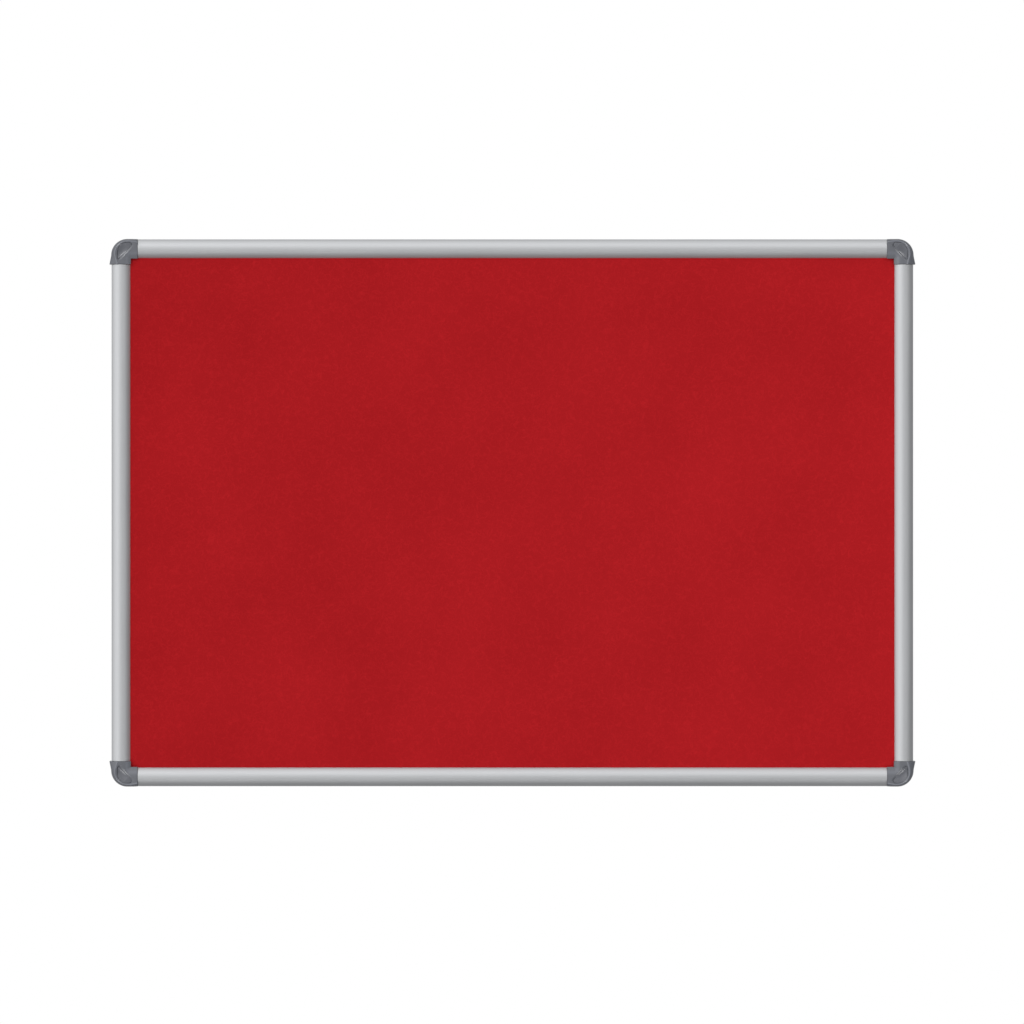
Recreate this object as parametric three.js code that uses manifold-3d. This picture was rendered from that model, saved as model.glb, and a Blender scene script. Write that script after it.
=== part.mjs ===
// Pinboard: a felt-faced softboard panel held in four aluminium rails, which meet in moulded corner pieces.
// Millimetres. X is to the right, Z is up and Y runs into the wall, so the felt faces -Y.
// The origin is the middle of the wall plane that the corner pieces rest on.

import * as THREE from 'three';
import { mergeVertices } from 'three/addons/utils/BufferGeometryUtils.js';
import Module from 'manifold-3d';

const wasm = await Module();
wasm.setup();

// Driving dimensions of the board
const feltWide = 900; // felt that shows between the side rails
const feltHigh = 600; // felt that shows between the top and bottom rails
const railFace = 22; // width of a rail seen from the front
const fit = 0.3; // gap between neighbours
const overrun = 5; // how far a cut runs past the face that it opens

// Panel, from the front to the back
const feltThick = 1.5;
const feltPinch = 0.3; // how far the rails' lips press its margin down
const coreThick = 6;
const backingThick = 1.2;
const panelLap = 7; // how far the panel reaches under each rail

// Rail extrusion
const wallGap = 1.5; // the rails stand this far off the wall
const railWall = 1.3;
const lipTip = 0.5; // thickness of the front lip where it meets the felt
const crownRise = 5.1; // height of the rounded front above the rail's sides
const flangeShort = 2; // the rear flange ends this far outside the felt's edge

// Corner piece, measured from the corner of the visible felt
const legAcross = 8.9; // reach along the top and bottom rails
const legDown = 7.5; // reach along the side rails
const capProud = 0.5; // how far it stands out past the rails' sides
const capRound = 19; // radius of the outer corner
const capLap = 0.8; // how far its inner edges lie over the felt
const capWall = 1.8;
const edgeRise = 3.5; // its inner edge stands this far above the rails' sides
const edgeRound = 0.5;
const faceRise = 0.6; // its face stands this far above the rails' crown
const ridgeRise = 0.9; // the ridge round its face stands this far above the rails' crown
const ridgeWide = 1.5; // width of the ridge's inner slope
const bandWide = 2; // width of the sloping band outside the ridge, where the top or bottom leg starts
const bandWideAcross = 3.6; // the same at the end on the top or bottom rail
const bandWideSide = 3.7; // the same where the side leg starts
const bandWideDown = 9.4; // the same at the end on the side rail
const bandDrop = 6; // how far the band falls from the ridge to the side
const flare = 2.1; // how far the skirt spreads at the end on the side rail
const flareFrom = 3; // the spread starts this far above the felt's corner
const endTuck = 0.3; // how far the outline draws in at the end on the top or bottom rail

// Screw cover and its pocket in the corner piece
const coverTopInset = 4.4; // from the corner piece's outline to the pocket, at the top
const coverSideInset = 6.7; // the same at the side
const coverRound = 10; // radius of the pocket's outer corner
const tipAcross = 1.6; // centre of the round tip, out from the felt's corner
const tipRound = 2.4;
const footAcross = 14.6; // centre of the small foot, out from the felt's corner
const footDown = 0.4; // and below it
const footRound = 1;
const coverBulge = 1.2; // how far the slanting edge is pulled towards the felt
const coverThick = 1.4;
const coverSunk = 1.2; // the cover's rim lies this far below the corner piece's face
const coverBevel = 0.6;
const coverDish = 0.7;
const rimBevel = 0.6;
const scoopWide = 3.6; // width of the rim's slope along the slanting edge, where a fingertip gets in
const floorThick = 1.3;
const pegRadius = 0.8;
const pegLong = 3;
const pegInset = 3.4; // from the cover's ends to the pegs' axes
const footPegInset = 1.3; // the peg at the foot stands this far nearer to the felt's corner than the foot

// Fixing bore in the corner piece
const boreAway = 10.5; // from the felt's corner to the bore's axis, in both directions
const boreRadius = 3;
const headRadius = 4.3; // room for the head of a wall screw
const headSeatThick = 0.6; // left under that head, in front of the panel's corner
const bossWall = 1.35;
const ribThick = 1.2;
const ribShort = 1; // the ribs end this far from the wall

// Tenons that plug into the rails
const tenonLong = 26;
const tenonTop = 0.4; // clearance below the rail's crown wall at the tenon's outer edge
const tenonTaper = 1;
const tenonLead = 5; // length of the tapered tip
const coreWall = 1.6; // walls left round the hollows in the tenon's back
const screwFromEnd = 18; // from the rail's end to its screw
const screwBlock = 3.4; // half length of the solid block round the screw

// Self-tapping pan-head screws in the rails' backs
const screwRadius = 1.2;
const screwLong = 8;
const screwPoint = 1.6;
const screwHead = 2.8;
const screwHeadHigh = 1.1;

// Counts of facets
const crownSteps = 10;
const cornerSteps = 9;
const faceSteps = 4;
const bandSteps = 4;
const arcSteps = 5;
const boreSides = 16;
const screwSides = 12;

// Shares, of a full height or width, and of half a turn for the ribs and the slanting edge
const bandSlopeShare = 0.35; // part of the band's fall that is a straight slope
const acrossShares = [1, 0.7, 0.4]; // places of the sections along the leg on the top or bottom rail
const downShares = [0.3, 0.65, 1]; // places of the sections along the leg on the side rail
const dishShare = 0.55; // size of the cover's dished middle
const scoopBendShare = 0.5; // the scoop is steep over this part of its width
const scoopRiseShare = 0.65; // and climbs this part of its height there
const pegTipShare = 0.75;
const headDomeShare = 0.6;
const ribTurnShares = [0.25, 0.88, -0.38];
const slantShare = 1.25;
const sharpShare = 0.5; // an outline that is drawn in keeps its points within this of their own distance

// Heights above the wall, worked out from the sizes above
const layerGaps = 4 * fit; // behind the panel, between its layers and in front of it
const panelThick = feltThick - feltPinch + coreThick + backingThick + layerGaps;
const railSide = railWall + panelThick + lipTip;
const flangeTop = wallGap + railWall;
const sideTop = wallGap + railSide;
const crownTop = sideTop + crownRise;
const lipUnder = sideTop - lipTip;
const capOut = railFace + capProud;
const faceTop = crownTop + faceRise;
const ridgeTop = crownTop + ridgeRise;
const edgeTop = sideTop + edgeRise;
const coverRim = faceTop - coverSunk;
const pocketFloor = coverRim - coverThick - fit;

// The crown is an arc through the tops of both sides of the rail
const crownRadius = (railFace ** 2 / 4 + crownRise ** 2) / (2 * crownRise);
const crownCentre = crownTop - crownRadius;
const panelSeat = panelLap + fit; // the rail's web, measured out from the felt's edge
const chamberIn = panelSeat + railWall;
const chamberOut = railFace - railWall;

// Builds a solid that can be joined and cut from points and triangles.
function solidFrom(positions, triangles) {
  const kept = triangles.filter(([a, b, c]) => a !== b && b !== c && c !== a);
  return new wasm.Manifold(new wasm.Mesh({
    numProp: 3,
    vertProperties: new Float32Array(positions),
    triVerts: new Uint32Array(kept.flat()),
  }));
}

// Turns a closed geometry into such a solid.
function toSolid(geometry) {
  const bare = geometry.clone();
  bare.deleteAttribute('normal');
  bare.deleteAttribute('uv');
  const merged = mergeVertices(bare);
  const corners = merged.index.array;
  const triangles = [];
  for (let i = 0; i < corners.length; i += 3) {
    triangles.push([corners[i], corners[i + 1], corners[i + 2]]);
  }
  return solidFrom(merged.attributes.position.array, triangles);
}

// Turns a solid back into a geometry with flat facets.
function toGeometry(solid) {
  const mesh = solid.getMesh();
  const geometry = new THREE.BufferGeometry();
  geometry.setAttribute('position', new THREE.BufferAttribute(new Float32Array(mesh.vertProperties), 3));
  geometry.setIndex(new THREE.BufferAttribute(new Uint32Array(mesh.triVerts), 1));
  const facets = geometry.toNonIndexed();
  facets.computeVertexNormals();
  return facets;
}

// Skins a row of closed outlines with equal numbers of points, each flat, and closes both ends.
function loft(rings) {
  const count = rings[0].length;
  const triangles = [];
  for (let ring = 0; ring + 1 < rings.length; ring++) {
    for (let i = 0; i < count; i++) {
      const here = ring * count + i;
      const beside = ring * count + (i + 1) % count;
      triangles.push([here, beside, beside + count], [here, beside + count, here + count]);
    }
  }
  const last = (rings.length - 1) * count;
  for (const [a, b, c] of fillRing(rings[0])) triangles.push([c, b, a]);
  for (const [a, b, c] of fillRing(rings[rings.length - 1])) triangles.push([last + a, last + b, last + c]);

  const geometry = new THREE.BufferGeometry().setFromPoints(rings.flat());
  geometry.setIndex(isInsideOut(rings.flat(), triangles) ? triangles.flat().reverse() : triangles.flat());
  return toSolid(geometry);
}

// Triangles over a flat ring, turning the way that the ring turns.
function fillRing(ring) {
  const normal = new THREE.Vector3();
  ring.forEach((point, i) => normal.add(point.clone().cross(ring[(i + 1) % ring.length])));
  const turn = new THREE.Quaternion().setFromUnitVectors(normal.normalize(), new THREE.Vector3(0, 0, 1));
  const flat = ring.map((point) => point.clone().applyQuaternion(turn));
  const contour = flat.map((point) => new THREE.Vector2(point.x, point.y));
  return THREE.ShapeUtils.triangulateShape(contour, []).map(([a, b, c]) => {
    const area = THREE.ShapeUtils.area([contour[a], contour[b], contour[c]]);
    return area > 0 ? [a, b, c] : [c, b, a];
  });
}

function isInsideOut(points, triangles) {
  let volume = 0;
  for (const [a, b, c] of triangles) volume += points[a].dot(points[b].clone().cross(points[c]));
  return volume < 0;
}

function block(left, right, low, high, bottom, top) {
  const geometry = new THREE.BoxGeometry(right - left, high - low, top - bottom);
  return toSolid(geometry.translate((left + right) / 2, (low + high) / 2, (bottom + top) / 2));
}

function rod(x, y, radius, bottom, top, topRadius = radius) {
  const geometry = new THREE.CylinderGeometry(topRadius, radius, top - bottom, boreSides);
  return toSolid(geometry.rotateX(Math.PI / 2).translate(x, y, (bottom + top) / 2));
}

function mesh(name, geometry, material) {
  const piece = new THREE.Mesh(geometry, material);
  piece.name = name;
  return piece;
}

const aluminium = new THREE.MeshStandardMaterial({ color: 0xc8c9cc, roughness: 0.38, metalness: 1 });
const greyPlastic = new THREE.MeshStandardMaterial({ color: 0x6b6d76, roughness: 0.5, metalness: 0 });
const coverPlastic = new THREE.MeshStandardMaterial({ color: 0x686b75, roughness: 0.42, metalness: 0 });
const zincSteel = new THREE.MeshStandardMaterial({ color: 0xb4b6ba, roughness: 0.35, metalness: 1 });
const redFelt = new THREE.MeshStandardMaterial({ color: 0xa71c21, roughness: 0.95, metalness: 0 });
const softboard = new THREE.MeshStandardMaterial({ color: 0xa58a66, roughness: 0.9, metalness: 0 });
const hardboard = new THREE.MeshStandardMaterial({ color: 0x6f4b30, roughness: 0.7, metalness: 0 });

// The board is modelled lying on its back, face up, and then stood against the wall.
const board = new THREE.Group();
board.rotation.x = Math.PI / 2;

// Height of the arc that lies `depth` under the rail's rounded front, at a distance out from the felt's edge.
function crownHeight(out, depth) {
  const radius = crownRadius - depth;
  return crownCentre + Math.sqrt(radius ** 2 - (out - railFace / 2) ** 2);
}

// Points along that arc, from one distance to another.
function crownPoints(from, to, depth) {
  const points = [];
  for (let step = 0; step <= crownSteps; step++) {
    const out = THREE.MathUtils.lerp(from, to, step / crownSteps);
    points.push(new THREE.Vector2(out, crownHeight(out, depth)));
  }
  return points;
}

// Section of the rail, with a groove for the panel on its inner side.
function railSection() {
  const innerRadius = crownRadius - railWall;
  const lipHalf = Math.sqrt(innerRadius ** 2 - (lipUnder - crownCentre) ** 2);
  const lipInside = railFace / 2 - lipHalf;
  const section = new THREE.Shape();
  section.moveTo(flangeShort, wallGap);
  section.lineTo(railFace, wallGap);
  crownPoints(railFace, 0, 0).forEach((point) => section.lineTo(point.x, point.y));
  section.lineTo(0, lipUnder);
  crownPoints(lipInside, panelSeat, railWall).forEach((point) => section.lineTo(point.x, point.y));
  section.lineTo(panelSeat, flangeTop);
  section.lineTo(flangeShort, flangeTop);
  return section;
}

// Section of the closed chamber that takes the tenons.
function chamberSection() {
  const section = new THREE.Shape();
  section.moveTo(chamberIn, flangeTop);
  crownPoints(chamberIn, chamberOut, railWall).forEach((point) => section.lineTo(point.x, point.y));
  section.lineTo(chamberOut, flangeTop);
  return section;
}

// A section drawn in distance out and height, drawn out into a bar along X.
function extrudeAlongX(section, long) {
  const bar = new THREE.ExtrudeGeometry(section, { depth: long, bevelEnabled: false });
  bar.translate(0, 0, -long / 2);
  bar.applyMatrix4(new THREE.Matrix4().makeBasis(
    new THREE.Vector3(0, 1, 0),
    new THREE.Vector3(0, 0, 1),
    new THREE.Vector3(1, 0, 0),
  ));
  return toSolid(bar);
}

const tenonIn = chamberIn + fit;
const tenonOut = chamberOut - fit;
const tenonBack = flangeTop + fit;
const tenonFront = crownHeight(tenonOut, railWall) - tenonTop;
const screwOut = (tenonIn + tenonOut) / 2;

// One rail along X, with its inner edge on y = 0 and a screw hole near each end.
function railGeometry(long) {
  let rail = extrudeAlongX(railSection(), long);
  rail = rail.subtract(extrudeAlongX(chamberSection(), long + overrun));
  for (const side of [-1, 1]) {
    const holeX = side * (long / 2 - screwFromEnd);
    rail = rail.subtract(rod(holeX, screwOut, screwRadius + fit, wallGap - overrun, tenonBack));
  }
  return toGeometry(rail);
}

function addRail(name, long, turn, away) {
  const seat = new THREE.Group();
  seat.rotation.z = turn;
  const rail = mesh(name, railGeometry(long), aluminium);
  rail.position.y = away;
  seat.add(rail);
  board.add(seat);
}

const acrossLong = feltWide - 2 * (legAcross + fit);
const downLong = feltHigh - 2 * (legDown + fit);
addRail('rail_top', acrossLong, 0, feltHigh / 2);
addRail('rail_bottom', acrossLong, Math.PI, feltHigh / 2);
addRail('rail_left', downLong, Math.PI / 2, feltWide / 2);
addRail('rail_right', downLong, -Math.PI / 2, feltWide / 2);

// The panel's two stiff layers, the hardboard against the rails' rear flanges.
function addLayer(name, bottom, thick, material) {
  const wide = feltWide + 2 * panelLap;
  const high = feltHigh + 2 * panelLap;
  const layer = mesh(name, new THREE.BoxGeometry(wide, high, thick), material);
  layer.position.z = bottom + thick / 2;
  board.add(layer);
}

const backingBack = flangeTop + fit;
const coreBack = backingBack + backingThick + fit;
const feltBack = coreBack + coreThick + fit;
addLayer('backing_board', backingBack, backingThick, hardboard);
addLayer('softboard_core', coreBack, coreThick, softboard);

// Corners of a rectangle that lies `past` outside the felt's visible edge, or inside it if that is negative.
function feltRing(past, height) {
  const x = feltWide / 2 + past;
  const y = feltHigh / 2 + past;
  return [[-x, -y], [x, -y], [x, y], [-x, y]].map((corner) => new THREE.Vector3(...corner, height));
}

// The felt: the lips press its margin down, and the field rises just inside the corner pieces' edges.
function feltGeometry() {
  const front = feltBack + feltThick;
  return toGeometry(loft([
    feltRing(panelLap, feltBack),
    feltRing(panelLap, front - feltPinch),
    feltRing(-capLap, front - feltPinch),
    feltRing(-capLap - fit, front),
  ]));
}

board.add(mesh('felt_sheet', feltGeometry(), redFelt));

// Distance from the corner piece's inner corner to its outline, in the direction of an angle.
function reachAt(angle) {
  const towards = new THREE.Vector2(Math.cos(angle), Math.sin(angle));
  const square = (capOut + capLap) / Math.max(towards.x, towards.y);
  const centre = capOut - capRound + capLap;
  if (Math.min(towards.x, towards.y) * square <= centre) return square;
  const along = centre * (towards.x + towards.y);
  return along + Math.sqrt(along ** 2 - 2 * centre ** 2 + capRound ** 2);
}

// One section of the corner piece, from its inner edge over its face, ridge and band to its side.
// `inset` gives the hollow inside it, one wall smaller.
function capSection(reach, band, inset, bottom) {
  const inner = inset;
  const outer = reach - inset;
  const ridge = reach - band - inset / 2;
  const valley = ridge - ridgeWide;
  const points = [
    [inner, bottom],
    [inner, edgeTop - edgeRound - inset],
  ];
  for (let step = 0; step <= faceSteps; step++) {
    const share = step / faceSteps;
    const rise = Math.sqrt(1 - (1 - share) ** 2);
    points.push([
      THREE.MathUtils.lerp(inner + edgeRound, valley, share),
      THREE.MathUtils.lerp(edgeTop, faceTop, rise) - inset,
    ]);
  }
  for (let step = 0; step <= bandSteps; step++) {
    const share = step / bandSteps;
    const curve = 1 - Math.sqrt(1 - share ** 2);
    const drop = THREE.MathUtils.lerp(curve, share, bandSlopeShare) * bandDrop;
    points.push([THREE.MathUtils.lerp(ridge, outer, share), ridgeTop - inset - drop]);
  }
  points.push([outer, bottom]);
  return points;
}

// Sections along the leg on the top rail, round the corner and down the leg on the side rail.
function capForm(inset, bottom) {
  const rings = [];
  const pivot = -capLap;
  const square = capOut + capLap;
  const place = (x, y, angle, reach, band) => {
    const endHeight = y + reach * Math.sin(angle);
    const spread = THREE.MathUtils.clamp((flareFrom - endHeight) / (flareFrom + legDown), 0, 1);
    const section = capSection(
      reach + flare * spread,
      THREE.MathUtils.lerp(band, bandWideDown, spread ** 2),
      inset,
      bottom,
    );
    rings.push(section.map(([out, height]) => new THREE.Vector3(
      x + out * Math.cos(angle),
      y + out * Math.sin(angle),
      height,
    )));
  };
  for (const share of acrossShares) {
    const x = THREE.MathUtils.lerp(pivot, inset - legAcross, share);
    const band = THREE.MathUtils.lerp(bandWide, bandWideAcross, share);
    place(x, pivot, Math.PI / 2, square - endTuck * share ** 2, band);
  }
  for (let step = 0; step <= cornerSteps; step++) {
    const share = step / cornerSteps;
    const angle = Math.PI / 2 * (1 - share);
    place(pivot, pivot, angle, reachAt(angle), THREE.MathUtils.lerp(bandWide, bandWideSide, share ** 2));
  }
  for (const share of downShares) {
    place(pivot, THREE.MathUtils.lerp(pivot, inset - legDown, share), 0, square, bandWideSide);
  }
  return loft(rings);
}

// Outline of the pocket: a round tip, a rounded outer corner, a small foot and a slanting edge.
function coverOutline() {
  const top = capOut - coverTopInset;
  const side = capOut - coverSideInset;
  const tipHigh = top - tipRound;
  const slant = slantShare * Math.PI;
  const slantX = Math.cos(slant);
  const slantY = Math.sin(slant);
  const shape = new THREE.Shape();
  shape.moveTo(tipAcross, top);
  shape.lineTo(side - coverRound, top);
  shape.absarc(side - coverRound, top - coverRound, coverRound, Math.PI / 2, 0, true);
  shape.quadraticCurveTo(side, footRound, footAcross + footRound, -footDown);
  shape.absarc(footAcross, -footDown, footRound, 0, slant - 2 * Math.PI, true);
  const startX = footAcross + slantX * footRound;
  const startY = -footDown + slantY * footRound;
  const endX = tipAcross + slantX * tipRound;
  const endY = tipHigh + slantY * tipRound;
  shape.quadraticCurveTo(
    (startX + endX) / 2 + slantX * coverBulge,
    (startY + endY) / 2 + slantY * coverBulge,
    endX,
    endY,
  );
  shape.absarc(tipAcross, tipHigh, tipRound, slant, Math.PI / 2, true);
  const points = shape.extractPoints(arcSteps).shape;
  const leastStep = footRound / arcSteps / 4;
  return points.filter((point, i) => point.distanceTo(points[(i + 1) % points.length]) > leastStep);
}

// The same outline drawn in, or let out where the distance is negative. `slantExtra` is added to the distance
// on the side that faces the felt's corner.
function drawIn(outline, distance, slantExtra = 0) {
  const turn = THREE.ShapeUtils.isClockWise(outline) ? -1 : 1;
  return outline.map((point, i) => {
    const before = outline[(i + outline.length - 1) % outline.length];
    const after = outline[(i + 1) % outline.length];
    const arrive = point.clone().sub(before).normalize();
    const leave = after.clone().sub(point).normalize();
    const middle = arrive.clone().add(leave).normalize();
    const inward = new THREE.Vector2(-middle.y, middle.x).multiplyScalar(turn);
    const facing = Math.max((inward.x + inward.y) / Math.SQRT2, 0);
    const stretch = Math.max(Math.abs(middle.dot(arrive)), sharpShare);
    return point.clone().addScaledVector(inward, (distance + slantExtra * facing ** 2) / stretch);
  });
}

function atHeight(outline, height) {
  return outline.map((point) => new THREE.Vector3(point.x, point.y, height));
}

const pocketOutline = coverOutline();
const pegPlaces = [
  new THREE.Vector2(tipAcross, capOut - coverTopInset - pegInset),
  new THREE.Vector2(footAcross - footPegInset, pegInset - footDown),
];

// One tenon along -X, cored from the back, with a solid block for its screw.
function tenon(root, low, high) {
  const tip = root - fit - tenonLong;
  const full = tip + tenonLead;
  const station = (x, taper) => [
    new THREE.Vector3(x, low + taper, tenonBack + taper),
    new THREE.Vector3(x, high - taper, tenonBack + taper),
    new THREE.Vector3(x, high - taper, tenonFront - taper),
    new THREE.Vector3(x, low + taper, tenonFront - taper),
  ];
  let peg = loft([station(root + capWall / 2, 0), station(full, 0), station(tip, tenonTaper)]);
  const screwX = root - fit - screwFromEnd;
  const cores = [
    [tip + coreWall + tenonTaper, screwX - screwBlock],
    [screwX + screwBlock, root - coreWall],
  ];
  for (const [left, right] of cores) {
    const core = block(
      left,
      right,
      low + coreWall,
      high - coreWall,
      tenonBack - overrun,
      tenonFront - coreWall,
    );
    peg = peg.subtract(core);
  }
  const pilotTop = wallGap + screwLong;
  return peg.subtract(rod(screwX, (low + high) / 2, screwRadius + fit, tenonBack - overrun, pilotTop));
}

// The same solid with its X and Y swapped, so that a leg along X becomes one along Y.
function swapLegs(solid) {
  const swapped = toGeometry(solid).applyMatrix4(new THREE.Matrix4().makeBasis(
    new THREE.Vector3(0, 1, 0),
    new THREE.Vector3(1, 0, 0),
    new THREE.Vector3(0, 0, 1),
  ));
  return toSolid(turnFaces(swapped));
}

// Turns each triangle over, which a mirrored geometry needs.
function turnFaces(geometry) {
  const positions = geometry.attributes.position;
  for (let i = 0; i < positions.count; i += 3) {
    const second = new THREE.Vector3().fromBufferAttribute(positions, i + 1);
    const third = new THREE.Vector3().fromBufferAttribute(positions, i + 2);
    positions.setXYZ(i + 1, ...third);
    positions.setXYZ(i + 2, ...second);
  }
  geometry.computeVertexNormals();
  return geometry;
}

// The corner piece of the top right corner: a hollow shell, open at the back.
function capSolid() {
  const outer = capForm(0, 0);
  let cap = outer.subtract(capForm(capWall, -overrun));

  const cupFloor = pocketFloor - floorThick;
  const cup = loft([
    atHeight(drawIn(pocketOutline, -floorThick), cupFloor),
    atHeight(drawIn(pocketOutline, -floorThick), ridgeTop),
  ]);
  const headBoss = rod(boreAway, boreAway, headRadius + bossWall, lipUnder, pocketFloor);
  const boss = rod(boreAway, boreAway, boreRadius + bossWall, 0, pocketFloor);
  let inside = cup.add(headBoss).add(boss);
  for (const place of pegPlaces) {
    inside = inside.add(rod(place.x, place.y, pegRadius + fit + bossWall, cupFloor - pegLong, pocketFloor));
  }

  // Two walls locate the panel's corner and carry on the line of the rails' webs.
  const seatIn = panelSeat;
  const seatOut = chamberIn;
  inside = inside.add(block(-legAcross, seatOut, seatIn, seatOut, 0, pocketFloor));
  inside = inside.add(block(seatIn, seatOut, -legDown, seatOut, 0, pocketFloor));

  // Ribs run from the boss to the side walls.
  for (const turn of ribTurnShares) {
    const rib = new THREE.BoxGeometry(capOut, ribThick, pocketFloor - ribShort);
    rib.translate(capOut / 2, 0, (pocketFloor + ribShort) / 2);
    rib.rotateZ(turn * Math.PI).translate(boreAway, boreAway, 0);
    inside = inside.add(toSolid(rib));
  }
  cap = cap.add(inside.intersect(outer));

  // The panel's corner lies behind the face, open to the wall.
  cap = cap.subtract(block(
    -legAcross - overrun,
    seatIn,
    -legDown - overrun,
    seatIn,
    -overrun,
    lipUnder,
  ));

  // Pocket with a bevelled rim that widens to a scoop, holes for the cover's pegs and the stepped bore.
  const rim = (share) => drawIn(pocketOutline, -rimBevel * share, (rimBevel - scoopWide) * share);
  const scoopBend = THREE.MathUtils.lerp(coverRim, faceTop, scoopRiseShare);
  cap = cap.subtract(loft([
    atHeight(pocketOutline, pocketFloor),
    atHeight(pocketOutline, coverRim),
    atHeight(rim(scoopBendShare), scoopBend),
    atHeight(rim(1), faceTop),
    atHeight(rim(1), ridgeTop + overrun),
  ]));
  for (const place of pegPlaces) {
    const holeBottom = cupFloor - pegLong - overrun;
    cap = cap.subtract(rod(place.x, place.y, pegRadius + fit, holeBottom, pocketFloor + fit));
  }
  cap = cap.subtract(rod(boreAway, boreAway, headRadius, lipUnder + headSeatThick, pocketFloor + fit));
  cap = cap.subtract(rod(boreAway, boreAway, boreRadius, -overrun, pocketFloor));

  cap = cap.add(tenon(-legAcross, tenonIn, tenonOut));
  return cap.add(swapLegs(tenon(-legDown, tenonIn, tenonOut)));
}

// The cover: a dished plate with a bevelled rim and two tapered pegs.
function coverSolid() {
  const outline = drawIn(pocketOutline, fit);
  const rim = drawIn(outline, coverBevel);
  const centre = new THREE.Vector2();
  for (const point of outline) centre.addScaledVector(point, 1 / outline.length);
  const middle = rim.map((point) => point.clone().lerp(centre, 1 - dishShare));
  let cover = loft([
    atHeight(outline, coverRim - coverThick),
    atHeight(outline, coverRim - coverBevel / 2),
    atHeight(rim, coverRim),
    atHeight(middle, coverRim - coverDish),
  ]);
  const pegTip = coverRim - coverThick - pegLong;
  const pegRoot = coverRim - coverThick / 2;
  for (const place of pegPlaces) {
    cover = cover.add(rod(place.x, place.y, pegRadius * pegTipShare, pegTip, pegRoot, pegRadius));
  }
  return cover;
}

// The screw, its head against the rail's back and its point in the tenon.
function screwGeometry() {
  const seat = wallGap - fit;
  const outline = [
    new THREE.Vector2(0, seat - screwHeadHigh),
    new THREE.Vector2(screwHead * headDomeShare, seat - screwHeadHigh),
    new THREE.Vector2(screwHead, seat - screwHeadHigh * (1 - headDomeShare)),
    new THREE.Vector2(screwHead, seat),
    new THREE.Vector2(screwRadius, seat),
    new THREE.Vector2(screwRadius, seat + screwLong - screwPoint),
    new THREE.Vector2(0, seat + screwLong),
  ];
  return new THREE.LatheGeometry(outline, screwSides).rotateX(Math.PI / 2);
}

const capGeometry = toGeometry(capSolid());
const coverGeometry = toGeometry(coverSolid());
const mirror = (geometry) => turnFaces(geometry.clone().scale(-1, 1, 1));

// Two hands of the corner piece, each used at two opposite corners.
const hands = {
  right: { cap: capGeometry, cover: coverGeometry, side: 1 },
  left: { cap: mirror(capGeometry), cover: mirror(coverGeometry), side: -1 },
};

function addCorner(name, hand, across, up, turn) {
  const corner = new THREE.Group();
  corner.position.set(across * feltWide / 2, up * feltHigh / 2, 0);
  corner.rotation.z = turn;
  corner.add(mesh(`corner_cap_${name}`, hand.cap, greyPlastic));
  corner.add(mesh(`screw_cover_${name}`, hand.cover, coverPlastic));

  const acrossScrew = mesh(`rail_screw_${name}_across`, screwGeometry(), zincSteel);
  acrossScrew.position.set(-hand.side * (legAcross + fit + screwFromEnd), screwOut, 0);
  const downScrew = mesh(`rail_screw_${name}_down`, screwGeometry(), zincSteel);
  downScrew.position.set(hand.side * screwOut, -(legDown + fit + screwFromEnd), 0);
  corner.add(acrossScrew, downScrew);
  board.add(corner);
}

addCorner('top_right', hands.right, 1, 1, 0);
addCorner('bottom_left', hands.right, -1, -1, Math.PI);
addCorner('top_left', hands.left, -1, 1, 0);
addCorner('bottom_right', hands.left, 1, -1, Math.PI);

const pinboard = new THREE.Group();
pinboard.add(board);

export default pinboard;
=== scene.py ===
# %% [markdown]
# # A felt pinboard in an aluminium frame
# The real board is a softboard panel faced with red felt. Four aluminium rails grip its
# edges, four moulded corner pieces join the rails, and a half-moon cover in each corner
# piece hides the screw that goes into the wall. The measured model is loaded first, so
# that every piece made here goes exactly where its solid says.

# %% Load the measured model
import math

import bmesh
import bpy
from mathutils import Matrix, Vector, noise


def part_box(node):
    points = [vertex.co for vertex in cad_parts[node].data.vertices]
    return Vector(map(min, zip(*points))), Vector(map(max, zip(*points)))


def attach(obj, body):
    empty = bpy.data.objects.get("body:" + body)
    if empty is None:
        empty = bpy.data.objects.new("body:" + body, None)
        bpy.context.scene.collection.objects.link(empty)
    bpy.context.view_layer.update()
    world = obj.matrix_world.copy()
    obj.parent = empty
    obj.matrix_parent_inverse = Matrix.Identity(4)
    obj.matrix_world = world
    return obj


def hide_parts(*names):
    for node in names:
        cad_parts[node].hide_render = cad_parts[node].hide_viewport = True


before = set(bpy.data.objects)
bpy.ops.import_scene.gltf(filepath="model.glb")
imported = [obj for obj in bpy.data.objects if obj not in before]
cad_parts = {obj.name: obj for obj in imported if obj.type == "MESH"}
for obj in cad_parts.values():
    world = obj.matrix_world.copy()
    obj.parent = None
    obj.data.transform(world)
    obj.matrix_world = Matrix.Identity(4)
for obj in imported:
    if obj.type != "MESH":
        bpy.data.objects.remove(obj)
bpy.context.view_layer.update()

mm = 0.001

# %% [markdown]
# ## The camera
# The photograph looks straight at the felt from far away: none of the rails' sides show.
# A parallel camera would give that, but a long lens five metres back gives nearly the
# same picture and keeps a natural perspective when the board is seen from other sides.

# %% Place the camera
pixel = 1.1777 * mm  # size of one pixel at the rails' lips
image_pixels = 1024
centre_right_pixels = 0.38  # the board's middle lies this far right of the image's
centre_below_pixels = 0.78  # and this far below it
lens_mm = 150
sensor_mm = 36
lip_depth = 12.9 * mm  # the rails' lips stand this far off the wall

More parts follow.
